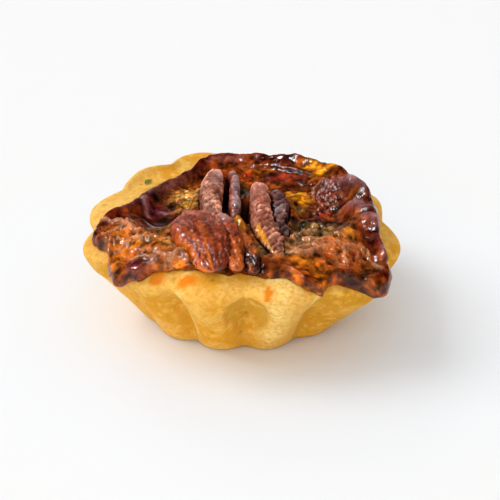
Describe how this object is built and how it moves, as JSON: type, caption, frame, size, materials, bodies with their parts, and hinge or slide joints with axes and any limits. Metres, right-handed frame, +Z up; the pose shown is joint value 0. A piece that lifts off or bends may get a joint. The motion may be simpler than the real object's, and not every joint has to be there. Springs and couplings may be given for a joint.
{
  "type": "mini pecan pie",
  "caption": "Small fluted pastry cup filled with dark baked caramel that has run over its rim, topped with pecan halves, standing on its flat base.",
  "frame": {"origin": "centre of the flat base, on the ground", "axes": "+Z up out of the filling, -Y towards the side whose rim is bare of caramel, +X to the right of it"},
  "size_m": [0.0637, 0.0632, 0.0259],
  "materials": {
    "pastry": "dry baked shortcrust, golden, faintly darker where it is thin",
    "caramel": "glossy baked caramel, red brown at the raised edge and amber where it is thin",
    "pecan": "roasted pecan, pinkish brown with a thin glaze"
  },
  "bodies": {
    "root": {"crust": "pastry", "filling": "caramel", "pecan_back": "pecan", "pecan_front": "pecan", "pecan_side": "pecan"}
  },
  "joints": []
}
